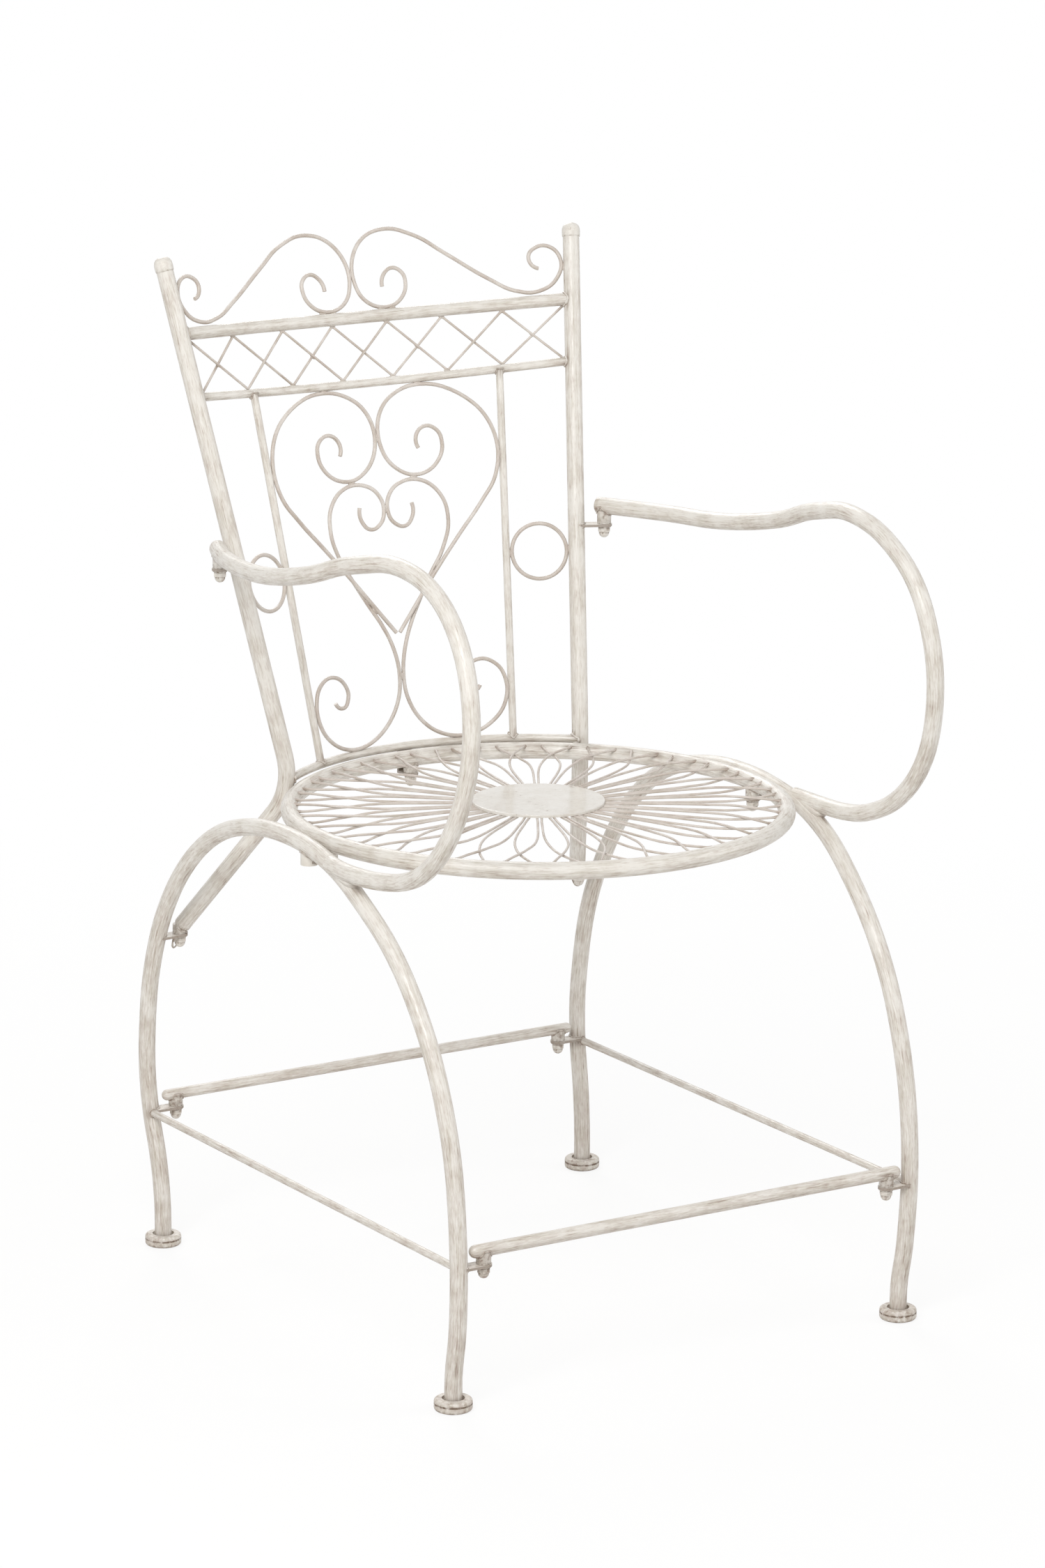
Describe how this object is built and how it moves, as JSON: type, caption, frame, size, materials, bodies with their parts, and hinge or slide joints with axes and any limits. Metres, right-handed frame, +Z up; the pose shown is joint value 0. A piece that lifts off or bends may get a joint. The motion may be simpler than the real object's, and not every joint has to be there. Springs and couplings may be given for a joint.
{
  "type": "garden armchair",
  "caption": "Bolted garden armchair of bent steel tube with a round wire-petal seat, looping arms and a bowed back of heart and scroll wirework.",
  "frame": {"origin": "on the floor, under the centre of the chair's bounding box", "axes": "+Z up, -Y toward the front where the sitter faces, +X toward the chair's left side"},
  "size_m": [0.5198, 0.6421, 0.9486],
  "materials": {
    "frame_paint": "satin antique cream paint on steel tube, brushed taupe patina, brown wear at the welds",
    "scroll_paint": "satin antique cream paint on bent steel wire with taupe rubbed edges",
    "seat_wire_paint": "satin cream and taupe paint on thin steel wire",
    "seat_plate_gloss": "glossy cream paint on pressed steel disc",
    "hardware_paint": "cream paint over steel bolts, tabs and acorn nuts, brown in the crevices",
    "foot_pad_paint": "cream painted foot cup, satin"
  },
  "bodies": {
    "root": {"acorn_nuts": "hardware_paint", "arm_bosses": "hardware_paint", "arm_end_caps": "frame_paint", "arm_tabs": "hardware_paint", "arm_tube_left": "frame_paint", "arm_tube_right": "frame_paint", "back_post_left": "frame_paint", "back_post_right": "frame_paint", "back_seat_boss": "hardware_paint", "back_seat_bracket": "hardware_paint", "bolt_studs": "hardware_paint", "bolt_washers": "hardware_paint", "bottom_rail": "frame_paint", "crest_scroll_left": "scroll_paint", "crest_scroll_right": "scroll_paint", "front_foot_pad_left": "foot_pad_paint", "front_foot_pad_right": "foot_pad_paint", "front_stretcher": "frame_paint", "front_stretcher_bosses": "hardware_paint", "heart_scroll_left": "scroll_paint", "heart_scroll_right": "scroll_paint", "inner_bar_left": "frame_paint", "inner_bar_right": "frame_paint", "lattice_wire_front": "scroll_paint", "lattice_wire_rear": "scroll_paint", "lyre_scroll_left": "scroll_paint", "lyre_scroll_right": "scroll_paint", "post_foot_bosses": "hardware_paint", "post_foot_caps": "frame_paint", "post_foot_tabs": "hardware_paint", "post_top_caps": "frame_paint", "rear_foot_pad_left": "foot_pad_paint", "rear_foot_pad_right": "foot_pad_paint", "rear_stretcher": "frame_paint", "rear_stretcher_bosses": "hardware_paint", "seat_bosses": "hardware_paint", "seat_plate": "seat_plate_gloss", "seat_rim": "frame_paint", "seat_tab_blocks": "hardware_paint", "seat_tabs": "hardware_paint", "seat_wires": "seat_wire_paint", "second_rail": "frame_paint", "side_ring_left": "scroll_paint", "side_ring_right": "scroll_paint", "side_rod_left": "frame_paint", "side_rod_right": "frame_paint", "side_tube_left": "frame_paint", "side_tube_right": "frame_paint", "stretcher_tabs": "hardware_paint", "top_rail": "frame_paint"}
  },
  "joints": []
}
